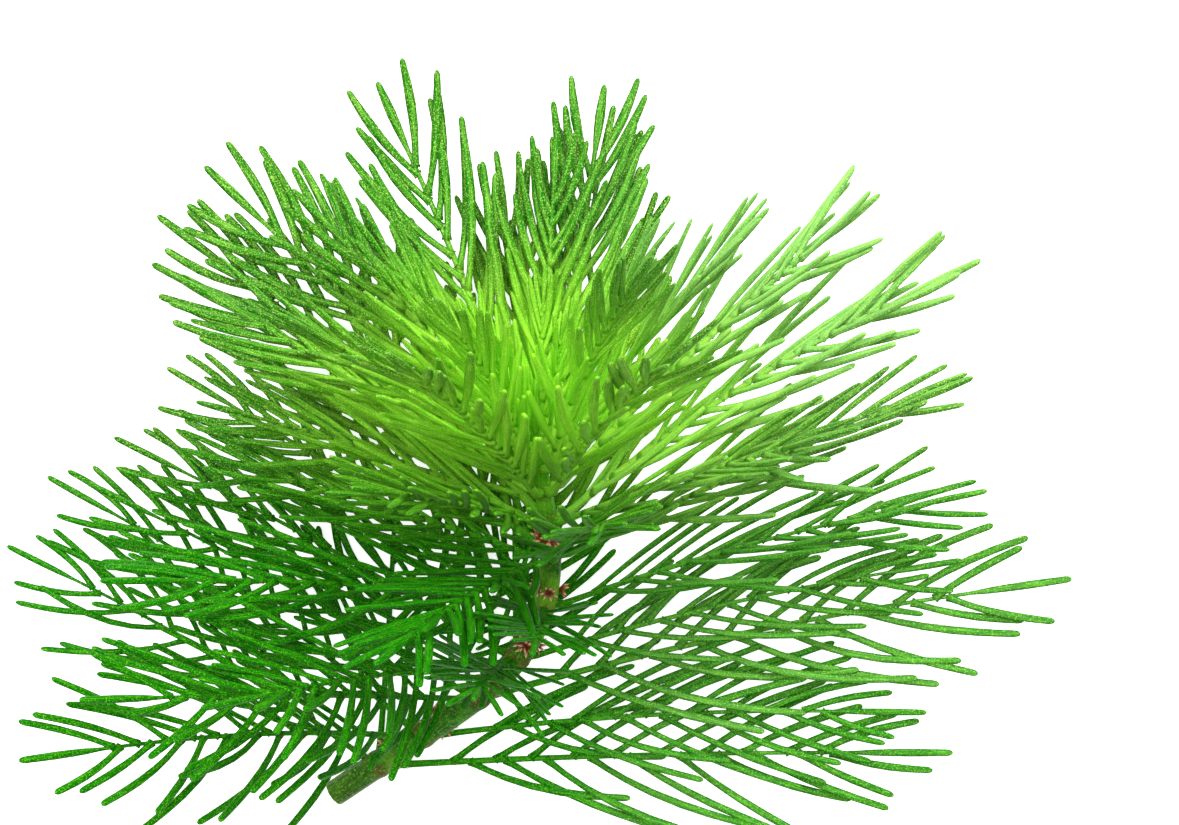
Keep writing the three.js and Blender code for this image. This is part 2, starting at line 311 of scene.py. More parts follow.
def stem_ring(tissue, share, size=1.0, inset=0.0):
    point, direction = stem.at(share)
    up = square(UP, direction)
    right = direction.cross(up)
    near = at_whorl(share)
    ring = []
    for k in range(STEM_SIDES):
        turn = 2 * math.pi * k / STEM_SIDES
        ridge = RIDGE_DEPTH * math.cos(RIDGES * turn) * (1 - near)
        radius = stem_radius(share) * size * (1 + ridge + SWELLING * near)
        off = (right * math.cos(turn) + up * math.sin(turn)) * radius
        channel = inset * (0.5 + 0.5 * math.cos(RIDGES * turn)) ** 0.5
        place = point + off + direction * channel
        marks = {"run": share * STEM_LENGTH / MM, "cut": 1.0 if size < 1 else 0.0, "node": near}
        ring.append(tissue.add(place, across=math.cos(turn), upper=math.sin(turn), **marks))
    return ring


def stem_skin():
    tissue = Tissue()
    middle = tissue.add(CUT_END, across=0.0, upper=0.0, run=0.0, cut=1.0, node=0.0)
    rings = [stem_ring(tissue, 0, size, CHANNEL_DEPTH * deep) for size, deep in CUT_FACE]
    for i in range(STEM_RINGS):
        rings.append(stem_ring(tissue, (i + FIRST_RING) / STEM_RINGS))
    tissue.fan(rings[0][::-1], middle)
    tissue.join(rings)
    point = tip_point + tip_direction * TIP_RADIUS
    end = tissue.add(point, across=0.0, upper=0.0, run=STEM_LENGTH / MM, cut=0.0, node=0.0)
    tissue.fan(rings[-1], end)
    return tissue


STEM_DEEP = paint(20, 84, 6)
STEM_GREEN = paint(62, 134, 20)
STEM_PATCH = paint(124, 196, 40)
STEM_FIBRE = paint(16, 70, 8)
STEM_STAIN = paint(86, 64, 22)
STEM_FOOT = paint(62, 84, 18)
STEM_FRESH = paint(84, 170, 16)
STEM_NODE = paint(92, 60, 24)
STEM_SPECK = paint(140, 204, 60)
CUT_FLESH = paint(176, 208, 116)
FRESH_FROM = 35  # mm from the cut end to where the stem starts to be fresh green
FRESH_TO = 43
FOOT_TO = 9  # mm from the cut end to where its dull foot has faded
STEM_RELIEF = 0.05 * MM


def stem_finish():
    finish = Finish(
        "stem_tissue", Subsurface_Weight=0.15, Subsurface_Scale=0.001, Specular_IOR_Level=0.1
    )
    node, run, cut = (finish.mark(name) for name in ("node", "run", "cut"))
    fibres = finish.streaks(finish.mark("across"), finish.mark("upper"), run * 0.22, 5.5)
    fibres = fibres.between(0.4, 0.66)
    blotch = finish.noise(scale=420, detail=4).between(0.38, 0.66)
    patch = finish.noise(scale=170, detail=1).between(0.5, 0.68)
    stain = finish.noise(scale=240).between(0.5, 0.7)
    grain = finish.noise(scale=5200)
    color = finish.blend(blotch, STEM_DEEP, STEM_GREEN)
    color = finish.blend(patch * 0.7, color, STEM_PATCH)
    color = finish.blend(fibres * 0.45, color, STEM_FIBRE)
    color = finish.blend(stain * 0.5, color, STEM_STAIN)
    color = finish.blend(run.between(FOOT_TO, 0) * 0.5, color, STEM_FOOT)
    color = finish.blend(run.between(FRESH_FROM, FRESH_TO), color, STEM_FRESH)
    color = finish.blend(node * 0.7, color, STEM_NODE)
    color = finish.blend(grain.between(0.5, 0.72) * 0.45, color, STEM_SPECK)
    color = finish.blend(cut, color, CUT_FLESH)
    roughness = 0.34 + grain * 0.22
    return finish.wear(color, roughness, grain + blotch + fibres, STEM_RELIEF)


stem_skin().piece("stem_skin", stem_finish(), "stem", ["stem"])

# The leaves: 50 feathers in 11 whorls of three to six, each one midrib with thin side segments along
# both edges and one more at its end. They are soft, slightly flattened and finely grained, bright
# yellow-green round the tip, where a painted glow of light through the young leaves adds to it, and
# deep green by the cut end. The lowest ones lie along the table.
WHORLS = [  # each leaf's degrees round the shoot from its upper side, extra opening and length factor
    [[150], [60], [240], [330]],
    [[156, 0, 1.09], [69], [249], [335]],
    [[149, 0, 1.05], [79], [231], [295], [40, -8]],
    [[196, 0, 1.05], [90, 1, 1.05], [262], [336, -10], [30, -4]],
    [[219, 0, 1.08], [86, 0, 1.09], [268, 0, 0.78], [336, -4, 0.85], [50, 4, 0.9]],
    [[224, 0, 1.08], [68, -4], [182, 0, 0.85], [283, -4, 0.8], [338, 6, 0.9], [10, -10, 0.85]],
    [[90, 0, 0.88], [245, 0, 0.85], [180], [305], [0, -6, 0.75]],
    [[117, 0, 0.88], [262, 0, 0.85], [190], [352, -10, 0.75], [328]],
    [[129, 0, 1.18], [271, 0, 0.85], [180], [322]],
    [[254, 0, 0.85], [122, 0, 0.96], [175, -6], [320]],
    [[121, 0, 1.07], [262, 0, 0.8], [190]],
]
USUAL_LEAF = [0, 1]  # the extra opening and the length factor where a leaf states none
OLDEST_PITCH = 90  # degrees between a leaf and the shoot's axis
OPENED_BY = 5  # the age in whorls by which a leaf has done most of its opening
OPENING_POWER = 1.1
LEAF_LENGTH = 47 * MM
LENGTHENED_BY = 2.7  # and the age for its growth in length
LENGTH_SPREAD = 0.03
LEAF_ARCH = 9  # degrees that a leaf bends outwards from base to end
ARCH_SPREAD = 5
STRAIGHT_AT = 0.4  # where on its midrib the leaf has its whorl's pitch
SWAY_SPREAD = 7  # degrees that a leaf bends to one side
AXIS_SHARE = 0.55  # how far a whorl's axis leans from its stem to the tip's direction
SETTLING = 0.5  # how far the oldest leaves' faces turn from the shoot's axis to the sky
SETTLING_FROM = 3  # the oldest whorl that doesn't settle
LOWEST_LEVEL = 0.1 * MM  # the height at which the oldest whorl's leaves level out
LEVEL_STEP = 0.95 * MM  # more for each younger whorl, so that leaves lie on leaves
JOINT_GAP = 0.38 * MM
SLANT_GAP = 0.4 * MM  # how much further out a leaf that points along the shoot stands
MIDRIB_STEPS = 40
MIDRIB_RINGS = 30
MIDRIB_DEPTH = 0.8  # its thickness, of its width
MIDRIB_HALF = 0.5 * MM
MIDRIB_END_HALF = 0.25 * MM
MIDRIB_TAPER_POWER = 0.8
MIDRIB_ROOT = 0.45  # where it starts inside the stem, of its joint's distance from the middle
FLARE = 0.5  # how much wider a midrib is where it leaves the stem
FLARE_LENGTH = 0.9 * MM
WIDENING = 0.3  # share of the end segment in which the midrib widens to its blade
LEAF_THICKNESS = (0.28, 1.15)  # factor for the width of its parts, on a leaf of no size and a full one
OLD_THICKNESS = 0.57  # a further factor on the oldest leaves
BARE_STALK = (2 * MM, 4.2 * MM)  # on the youngest and on the oldest leaves
YOUNG_BARE_STALK = 0.3  # of it, on a leaf of no size
SEGMENT_SPACING = 2.7 * MM
OLD_SPACING = 3.6 * MM  # on the oldest leaves
YOUNG_SPACING = 0.28  # of either, on a leaf of no size
FRONT_CROWDING = 0.3  # how much closer the segments of old leaves stand on the upper side
STAGGER = 0.2  # of the spacing, one row forwards and the other back
FIRST_PLACE = 0.45  # of the spacing, from the bare stalk to the first segments
PLACE_SPREAD = 0.15
SEGMENT_LENGTH = 17 * MM
SEGMENT_GROWTH_POWER = 0.8
SHORTEST = 0.62  # factor for the segments' length at both ends of half a wave
HUMP_FROM = 0.16  # where on that half wave the first segments stand
HUMP_RUN = 0.78  # how much of it the whole row covers
SEGMENT_TIP_LOSS = (0.1, 0.35)  # how much shorter they are at the leaf's end, youngest and oldest
SEGMENT_LENGTH_SPREAD = 0.13
END_SEGMENT = 0.52  # length of the segment at the leaf's end, of the side segments' length
SEGMENT_ANGLE = (37, 50)  # degrees from the midrib at its base, on the youngest and oldest leaves
SEGMENT_ANGLE_SPREAD = 6
SEGMENT_CURL = (18, 36)  # degrees that it turns towards the leaf's end, more of it near its base
SEGMENT_CURL_SPREAD = 0.4
SEGMENT_CURL_POWER = 1.6
CLOSING = 0.35  # how much less the last segments of the oldest leaves stand out and curl
YOUNG_ANGLE = 14  # degrees that the segments of a leaf of no size stand closer to their midrib
FRONT_ANGLE = 11  # the same for the leaves on the shoot's upper side
SIDE_ANGLE = 15  # the same for the old leaves of the right side
FRONT_STRAIGHTNESS = 0.75  # how much less the segments on the upper side curl
SIDE_STRAIGHTNESS = 0.4  # and the old ones on the right side
SEGMENT_LIFT = 11  # degrees that a segment may stand out of its leaf's plane
SEGMENT_HALF = 0.54 * MM
SEGMENT_BASE = (0.5, 0.75)  # of its widest, on the youngest and oldest leaves
SEGMENT_TAPER = (0.4, 0.12)  # how much narrower its end is
SEGMENT_WIDEST = 0.6  # where on its length it is widest
SEGMENT_DEPTH = 0.65  # its thickness, of its width
SEGMENT_STEPS = 16
SEGMENT_SIDES = 8
SEGMENT_STATIONS = [0, 0.05, 0.12, 0.24, 0.4, 0.58, 0.74, 0.86, 0.92, 0.95, 0.97, 0.985, 0.995]
SEGMENT_CAP = 0.6 * MM  # the length of its round end
FILLET = 0.5  # how much wider it is where it joins the midrib
FILLET_LENGTH = 0.55 * MM
RIPER_END = 0.3  # how much riper its end is than its base
GROOVE_DEPTH = 0.22  # of half the thickness, down the middle of the upper face
GROOVE_HALF = 0.4  # of half the width
RUN_CYCLE = 997  # mm, the most by which the streaks of one segment start later than another's
HEART_REACH = 28 * MM  # from the brightest place to where its bright green and its painted glow have faded
HEART_AHEAD = 0.2 * MM  # the brightest place, from the growing tip
HEART_HEIGHT = 0.6  # how much of a height counts in that distance
HEART_BREADTH = 1.45  # and how much of a distance along +Y
LIT_ABOVE = 11.5 * MM  # how far below it the leaves stayed in full shade
LIT_FADE = 18 * MM
PALE_OVER = 14 * MM  # the distance to the right over which the painted light of the sunny side grows to full
PALE_START = 0.1  # of that distance, how far to the left of the brightest place it starts


def grown(age, most_by, power=1):
    """How much of its growth a whorl of this age has done."""
    return 1 - math.exp(-((age / most_by) ** power))


def vary(seed):
    """A number from -1 to 1 that is always the same for the same seed."""
    x = math.sin(seed * 12.9898) * 43758.5453
    return (x - math.floor(x)) * 2 - 1


def on_upper_side(azimuth):
    """1 for a leaf on the shoot's upper side, fading to 0 at 60 degrees from it."""
    return smooth(2 * math.cos(math.radians(azimuth)) - 1)


class Whorl:
    """What the leaves of one whorl have in common."""

    def __init__(self, age):
        share = stem_share(age)
        self.centre, direction = stem.at(share)
        self.axis = direction.lerp(tip_direction, AXIS_SHARE).normalized()
        self.up = square(UP, self.axis)
        self.right = self.axis.cross(self.up)
        self.pitch = OLDEST_PITCH * grown(age, OPENED_BY, OPENING_POWER)
        self.radius = stem_radius(share) + JOINT_GAP + SLANT_GAP * math.cos(math.radians(self.pitch))
        self.level = LOWEST_LEVEL + LEVEL_STEP * (len(WHORLS) - age)
        self.settled = SETTLING * smooth((age - SETTLING_FROM) / (len(WHORLS) - SETTLING_FROM))
        self.length = LEAF_LENGTH * grown(age, LENGTHENED_BY)

    def outward(self, azimuth):
        turn = math.radians(azimuth)
        return self.up * math.cos(turn) + self.right * math.sin(turn)


def segment_half(share, length, old):
    """How a segment's width runs from its narrow base to its round end."""
    taper = mix(*SEGMENT_TAPER, old) * smooth((share - SEGMENT_WIDEST) / (1 - SEGMENT_WIDEST))
    body = mix(mix(*SEGMENT_BASE, old), 1, smooth(share / SEGMENT_WIDEST)) * (1 - taper)
    off_end = min((1 - share) * length / SEGMENT_CAP, 1)
    return body * math.sqrt(1 - (1 - off_end) ** 2)


def tip_and_light_marks(place):
    """How near to the growing tip a place is, for its yellow-green and painted glow, how high up it is
    in the painted light that came from +Y, and how far out on the sunny side, where more light is
    painted."""
    off = place - tip_point - tip_direction * HEART_AHEAD
    marks = {
        "high": smooth((off.y + LIT_ABOVE) / LIT_FADE),
        "out": smooth(off.x / PALE_OVER + PALE_START),
    }
    flattened = Vector((off.x, off.y * HEART_BREADTH, off.z * HEART_HEIGHT))
    marks["heart"] = smooth(1 - flattened.length / HEART_REACH)
    return marks


def sweep(tissue, path, face, settled, half, ripe, stations, depth, **marks):
    """A flattened rod along a path, with its flatter face the way that face looks. half(share) gives
    half its width, and ripe(share) how far out on the leaf it is."""
    rings = []
    start = len(tissue.points) % RUN_CYCLE
    for share in stations:
        marks["run"] = start + share * path.length / MM
        point, direction = path.at(share)
        up = path.facing(share, face, settled)
        side = direction.cross(up)
        wide = half(share)
        ring = []
        for k in range(SEGMENT_SIDES):
            turn = 2 * math.pi * (k + 0.5) / SEGMENT_SIDES
            x, y = math.cos(turn), math.sin(turn)
            groove = GROOVE_DEPTH * math.exp(-((x / GROOVE_HALF) ** 2)) if y > 0 else 0
            place = point + side * (x * wide) + up * ((y - groove) * wide * depth)
            marks.update(tip_and_light_marks(place))
            ring.append(tissue.add(place, across=x, upper=y, ripe=ripe(share), **marks))
        rings.append(ring)
    tissue.join(rings)
    point, _ = path.at(1)
    marks.update(tip_and_light_marks(point))
    end = tissue.add(point, across=0.0, upper=0.0, ripe=ripe(1), **marks)
    tissue.fan(rings[-1], end)
    tissue.faces.append(tuple(rings[0]))


class Leaf:
    """One leaf of a whorl. Its own draws start from its seed."""

    def __init__(self, whorl, azimuth, opening, stretch, seed, marks):
        self.whorl = whorl
        self.seed = seed
        self.marks = marks
        self.old = marks["old"]
        self.front = on_upper_side(azimuth)
        self.radial = whorl.outward(azimuth)
        self.aside = whorl.axis.cross(self.radial)
        self.pitch = math.radians(whorl.pitch + opening)
        self.arch = math.radians(LEAF_ARCH + ARCH_SPREAD * vary(seed + 2))
        self.sway = math.radians(SWAY_SPREAD * vary(seed + 3))
        self.length = whorl.length * stretch * (1 + LENGTH_SPREAD * vary(seed + 4))
        self.size = self.length / LEAF_LENGTH
        self.base = whorl.centre + self.radial * whorl.radius
        self.face = whorl.axis * math.sin(self.pitch) - self.radial * math.cos(self.pitch)
        self.thickness = mix(*LEAF_THICKNESS, self.size) * mix(1, OLD_THICKNESS, self.old)
        self.reach = SEGMENT_LENGTH * self.size**SEGMENT_GROWTH_POWER
        self.end_length = END_SEGMENT * self.reach
        self.midrib = Path(
            self.base, self.length - self.end_length, MIDRIB_STEPS, whorl.level, self.heading
        )
        right_side = max(0, math.sin(math.radians(azimuth))) * self.old**2
        self.angle = mix(*SEGMENT_ANGLE, self.old**2) - FRONT_ANGLE * self.front
        self.angle = self.angle - YOUNG_ANGLE * (1 - self.size) - SIDE_ANGLE * right_side
        self.bend = mix(*SEGMENT_CURL, self.old**2) * (1 - FRONT_STRAIGHTNESS * self.front)
        self.bend *= 1 - SIDE_STRAIGHTNESS * right_side

    def heading(self, share):
        bent = self.pitch + self.arch * (share - STRAIGHT_AT)
        outward = self.whorl.axis * math.cos(bent) + self.radial * math.sin(bent)
        return outward * math.cos(self.sway * share) + self.aside * math.sin(self.sway * share)

    def skin(self):
        tissue = Tissue()
        bare = mix(*BARE_STALK, self.old**4) * mix(YOUNG_BARE_STALK, 1, self.size) / self.midrib.length
        spacing = mix(SEGMENT_SPACING, OLD_SPACING, self.old**4) * mix(YOUNG_SPACING, 1, self.size)
        spacing *= 1 - FRONT_CROWDING * self.front * self.old
        count = round(self.midrib.length * (1 - bare) / spacing)
        for i in range(count):
            for hand in (-1, 1):
                own = self.seed + 10 + i * 2 + hand / 2
                place = i + FIRST_PLACE + STAGGER * hand + PLACE_SPREAD * vary(own + 0.4)
                self.side_segment(tissue, bare + (1 - bare) * place / count, hand, own)
        self.midrib_and_end(tissue)
        return tissue

    def side_segment(self, tissue, share, hand, own):
        point, direction = self.midrib.at(share)
        upper = self.midrib.facing(share, self.face, self.whorl.settled)
        across = direction.cross(upper)
        hump = SHORTEST + (1 - SHORTEST) * math.sin(math.pi * (HUMP_FROM + HUMP_RUN * share))
        taper = 1 - mix(*SEGMENT_TIP_LOSS, self.old) * share**3
        length = self.reach * hump * taper * (1 + SEGMENT_LENGTH_SPREAD * vary(own + 0.2))
        closing = 1 - CLOSING * self.old * share**3
        spread = self.angle * closing + SEGMENT_ANGLE_SPREAD * vary(own)
        curl = self.bend * closing * (1 + SEGMENT_CURL_SPREAD * vary(own + 0.1))
        lift = math.radians(SEGMENT_LIFT * vary(own + 0.3))

        def segment_heading(part):
            off = math.radians(spread - curl * (1 - (1 - part) ** SEGMENT_CURL_POWER))
            flat = direction * math.cos(off) + across * (hand * math.sin(off))
            return flat * math.cos(lift) + upper * math.sin(lift)

        def half(part):
            fillet = FILLET * math.exp(-part * length / FILLET_LENGTH)
            return SEGMENT_HALF * self.thickness * (segment_half(part, length, self.old) + fillet)

        segment = Path(point, length, SEGMENT_STEPS, self.whorl.level, segment_heading)
        segment.pressed = [0] * len(segment.points)  # its face turns with its leaf, not by itself
        sweep(
            tissue, segment, upper, 0, half, lambda part: share + RIPER_END * part, SEGMENT_STATIONS,
            SEGMENT_DEPTH, rib=0.0, **self.marks
        )

    def midrib_and_end(self, tissue):
        """The midrib starts inside the stem and runs on into the segment at its end."""
        last_point, last_direction = self.midrib.at(1)
        end = Path(
            last_point, self.end_length, SEGMENT_STEPS, self.whorl.level,
            lambda part: last_direction.copy(),
        )
        root = self.whorl.centre + self.radial * (self.whorl.radius * MIDRIB_ROOT)
        whole = self.midrib
        whole.begin_at(root)
        whole.run_on(end, round(self.end_length / (whole.length / MIDRIB_STEPS)))
        whole.length = self.length + (self.base - root).length
        join = 1 - self.end_length / whole.length

        def half(share):
            if share < join:
                narrowed = mix(MIDRIB_HALF, MIDRIB_END_HALF, (share / join) ** MIDRIB_TAPER_POWER)
                flare = FLARE * math.exp(-share * whole.length / FLARE_LENGTH)
                return self.thickness * narrowed * (1 + flare)
            part = (share - join) / (1 - join)
            blade = SEGMENT_HALF * segment_half(part, self.end_length, self.old)
            return self.thickness * mix(MIDRIB_END_HALF, blade, smooth(part / WIDENING))

        stations = [join * i / MIDRIB_RINGS for i in range(MIDRIB_RINGS)]
        stations += [join + (1 - join) * share for share in SEGMENT_STATIONS]
        sweep(
            tissue, whole, self.face, self.whorl.settled, half, lambda share: share, stations,
            MIDRIB_DEPTH, rib=1.0, **self.marks
        )


LEAF_YOUNG = paint(40, 134, 6)
LEAF_OLD = paint(2, 88, 0)
LEAF_SHADE = paint(4, 96, 0)
# painted light on the sunny side
LEAF_LIT = paint(164, 224, 122)
# the young leaves' yellow-green round the growing tip, with a painted glow of light through them
LEAF_HEART = paint(180, 255, 60)
# the rims in that painted glow
LEAF_HEART_RIM = paint(122, 230, 18)
# painted glow highlights on veins, streaks and grain round the growing tip
LEAF_GLOW = paint(212, 255, 92)
# a lighter vein with a painted highlight on it, and painted highlight streaks; the second for leaves
# out of the light
LEAF_VEIN_AND_HIGHLIGHT = paint(134, 190, 70)
LEAF_LOW_VEIN_AND_HIGHLIGHT = paint(62, 158, 12)
# painted glints on the grain of cells; the second for leaves out of the light
LEAF_GRAIN_GLINT = paint(178, 222, 104)
LEAF_LOW_GRAIN_GLINT = paint(100, 184, 40)
LEAF_DEEP = paint(2, 88, 0)
# darker rims, partly painted shade
LEAF_RIM = paint(12, 68, 0)
LEAF_RELIEF = 0.016 * MM


def leaf_finish(slot):
    """Yellow-green round the growing tip under a painted glow, painted paler where the leaf stood in
    the light and darker with painted shade, deep green on the oldest leaves, with a lighter vein under
    a painted highlight, painted highlight streaks, darker edges that are partly painted shade, and a
    fine grain with painted glints."""
    finish = Finish(
        f"{slot}_tissue", Subsurface_Weight=0.15, Subsurface_Scale=0.0006, Specular_IOR_Level=0.03
    )
    across, upper, run, ripe = (finish.mark(name) for name in ("across", "upper", "run", "ripe"))
    heart, high, old, lit = (finish.mark(name) for name in ("heart", "high", "old", "lit"))
    heart = heart * (0.04 + high * 0.96)
    lit = lit * finish.mark("out")
    sun = 1 - (1 - high) * (1 - lit)
    blotch = finish.noise(scale=260, detail=3).between(0.3, 0.72)
    cells = finish.noise(scale=8000)
    streak = finish.streaks(across, upper, run * 0.12, 3).between(0.46, 0.68)
    edge = abs(across).between(0.3, 0.95)
    vein_and_highlight = (1 - abs(across).between(0.05, 0.4)) * upper.between(0, 0.5)

    # The flesh: from old to young green, a mix that also follows the painted light from +Y, then
    # painted shade, painted light on the sunny side, blotched, deeper at the tips, then the painted
    # glow over the yellow-green round the growing tip.
    color = finish.blend(high * (1 - old * 0.6), LEAF_OLD, LEAF_YOUNG)
    color = finish.blend(finish.mark("shade"), color, LEAF_SHADE)
    color = finish.blend(lit, color, LEAF_LIT)
    color = finish.blend(blotch * 0.2, color, LEAF_DEEP)
    tips = ripe.between(0.45, 1.15) * (1 - lit) * (1 - heart)
    color = finish.blend(tips * 0.6, color, LEAF_DEEP)
    color = finish.blend(heart, color, LEAF_HEART)

    # The darker rims of each segment: partly its own darker edges, partly painted shade where its round
    # surface turns away from the light.
    rim = finish.blend(sun, LEAF_DEEP, LEAF_RIM)
    rim = finish.blend(heart, rim, LEAF_HEART_RIM)
    color = finish.blend(edge * (0.65 + old * 0.25) * (1 - lit * 0.4), color, rim)

    # Painted highlight streaks along it and darker streaks between them, the lighter vein down its
    # middle with a painted highlight on it, the midrib, lighter and with a painted highlight where the
    # light falls, and the grain of cells with painted glints on it.
    shine = 0.42 + sun * 0.32
    light = finish.blend(sun, LEAF_LOW_VEIN_AND_HIGHLIGHT, LEAF_VEIN_AND_HIGHLIGHT)
    light = finish.blend(heart, light, LEAF_GLOW)
    grain_glint = finish.blend(sun, LEAF_LOW_GRAIN_GLINT, LEAF_GRAIN_GLINT)
    grain_glint = finish.blend(heart, grain_glint, LEAF_GLOW)
    color = finish.blend(streak * (shine * 0.4 + old * 0.3), color, light)
    dark_streak = (1 - streak) * (1 - heart * 0.7) * (0.32 + old * 0.15)
    color = finish.blend(dark_streak, color, LEAF_DEEP)
    color = finish.blend(vein_and_highlight * (mix(0.5, 0.15, ripe) + old * 0.1) * shine, color, light)
    rib = finish.mark("rib") * (1 - ripe.between(0.5, 0.7))
    color = finish.blend(rib * (0.4 * shine + 0.35 * lit), color, light)
    color = finish.blend(cells.between(0.54, 0.64) * (0.6 * shine + old * old * 0.4), color, grain_glint)
    roughness = 0.3 + cells * 0.25
    return finish.wear(color, roughness, cells * 0.6 - vein_and_highlight * 0.4, LEAF_RELIEF)


# How much of the light each whorl's leaves on the lit side got, from the youngest whorl on.
LIGHT_REACHING = [0.85, 0.85, 0.85, 0.85, 0.8, 0.55, 0.2, 0.35, 0.65, 0.25, 0.3]
LIT_SIDE = 90  # degrees round the shoot from its upper side
SHADED_SIDE = 175
SIDE_BREADTH = 45
SIDE_SHADE = 0.5
OVERHUNG_SHADE = 0.55  # on the upper side of the older whorls, which the crown overhangs
OVERHUNG_FROM = 4  # the oldest whorl without it
OVERHUNG_OVER = 2  # the number of whorls in which it grows to full
OLD_FROM = 2  # the same two for the looks of age
OLD_OVER = 7
LAST_YOUNG = 4  # the oldest whorl of the slot young_leaf
LAST_GREEN = 7  # and of the slot leaf


def towards(side, azimuth):
    return math.exp(-(((azimuth - side) / SIDE_BREADTH) ** 2))


finishes = {slot: leaf_finish(slot) for slot in ("young_leaf", "leaf", "old_leaf")}
for age in AGES:
    whorl = Whorl(age)
    slot = "young_leaf" if age <= LAST_YOUNG else "leaf" if age <= LAST_GREEN else "old_leaf"
    for i, given in enumerate(WHORLS[age - 1]):
        azimuth, opening, stretch = given + USUAL_LEAF[len(given) - 1 :]
        under_crown = smooth((age - OVERHUNG_FROM) / OVERHUNG_OVER)
        overhung = OVERHUNG_SHADE * on_upper_side(azimuth) * under_crown
        # lit is painted light on the sunny side, shade is painted shade on the underside and under the
        # crown
        marks = {
            "old": smooth((age - OLD_FROM) / OLD_OVER),
            "lit": towards(LIT_SIDE, azimuth) * LIGHT_REACHING[age - 1],
            "shade": SIDE_SHADE * towards(SHADED_SIDE, azimuth) + overhung,
        }
        name = f"whorl_{age:02d}_leaf_{i + 1}"
        leaf = Leaf(whorl, azimuth, opening, stretch, age * 200 + i * 40, marks)
        leaf.skin().piece("feather_" + name, finishes[slot], slot, [name])

# The growing tip: closed young leaves on the end of the stem, each one a bundle of segments still
# folded along its midrib. They are the yellowest part of the shoot, and the painted glow round the
# growing tip is strongest on them.
TIP_LEAVES = 7
TIP_LENGTH = 6.5 * MM
TIP_LENGTH_SPREAD = 1.2 * MM
TIP_LENGTH_SEED = 420
TIP_LEAN = 7  # degrees
TIP_LEAN_SPREAD = 2
TIP_LEAN_SEED = 400
TIP_RING = 0.18 * MM
NEEDLES = 8
NEEDLES_OVER = 0.5  # of the leaf's length, from the first needle's foot to the last one's
NEEDLE_LENGTH = 0.62  # of the leaf's length
NEEDLE_SHORTENING = 0.2  # of the leaf's length, for a needle at its very end
NEEDLE_ANGLE = 7  # degrees
NEEDLE_ANGLE_SPREAD = 3
NEEDLE_CLOSING = 1.7  # how far it turns back, of its angle
NEEDLE_OFFSET = 0.12 * MM
NEEDLE_HALF = 0.15 * MM
NEEDLE_DEPTH = 0.8
NEEDLE_STEPS = 10


def closed_leaves():
    tissue = Tissue()
    marks = {"old": 0.0, "lit": 0.0, "shade": 0.0, "rib": 0.0}
    start = tip_point + tip_direction * JOINT_GAP
    up = square(UP, tip_direction)
    right = tip_direction.cross(up)
    for i in range(TIP_LEAVES):
        turn = i / TIP_LEAVES * 2 * math.pi
        radial = up * math.cos(turn) + right * math.sin(turn)
        lean = math.radians(TIP_LEAN + TIP_LEAN_SPREAD * vary(i + TIP_LEAN_SEED))
        heading = tip_direction * math.cos(lean) + radial * math.sin(lean)
        length = TIP_LENGTH + TIP_LENGTH_SPREAD * vary(i + TIP_LENGTH_SEED)
        out = square(radial, heading)
        side = heading.cross(out)
        foot = start + radial * TIP_RING - heading * (2 * JOINT_GAP)
        for j in range(NEEDLES):
            seed = i * 20 + j
            hand = 1 if j % 2 else -1
            share = NEEDLES_OVER * j / NEEDLES
            spread = math.radians(NEEDLE_ANGLE + NEEDLE_ANGLE_SPREAD * vary(seed))
            needle_foot = foot + heading * (share * length) + out * (NEEDLE_OFFSET * vary(seed + 7))
            needle_length = length * (NEEDLE_LENGTH - NEEDLE_SHORTENING * share)

            def needle_heading(part):
                angle = spread * (1 - NEEDLE_CLOSING * part)
                return heading * math.cos(angle) + side * (hand * math.sin(angle))

            def half(part):
                return NEEDLE_HALF * segment_half(part, length / 2, 0)

            needle = Path(needle_foot, needle_length, NEEDLE_STEPS, 0, needle_heading)
            sweep(
                tissue, needle, out, 0, half, lambda part: 0.0, SEGMENT_STATIONS, NEEDLE_DEPTH, **marks
            )
    return tissue


closed_leaves().piece("closed_leaves", finishes["young_leaf"], "young_leaf", ["growing_tip"])

# The scales: small stars of reddish-brown scales stand on the stem above each grown leaf, pale pinkish
# at their ends and dark where they spring from the stem.
SCALES_FROM = 6  # the youngest whorl with scales
TUFT_RISE = 1.7 * MM  # above the whorl
TUFT_SINK = 0.9  # of the stem's radius, from its middle out to the foot of the scales
SCALES = 7
SCALE_HALF = 0.15 * MM
SCALE_DEPTH = 0.6
SCALE_LENGTH = 1.05 * MM
SCALE_LENGTH_SPREAD = 0.2
SCALE_SPREAD = 140  # degrees to each side of the stem's direction
SCALE_ANGLE_SPREAD = 8
STAR_BREADTH = 0.75  # across the stem, of its height along it
SCALE_LEAN = 0.75  # how far the scales stand out from the stem
SCALE_LEAN_SPREAD = 0.3
SCALE_STEPS = 6


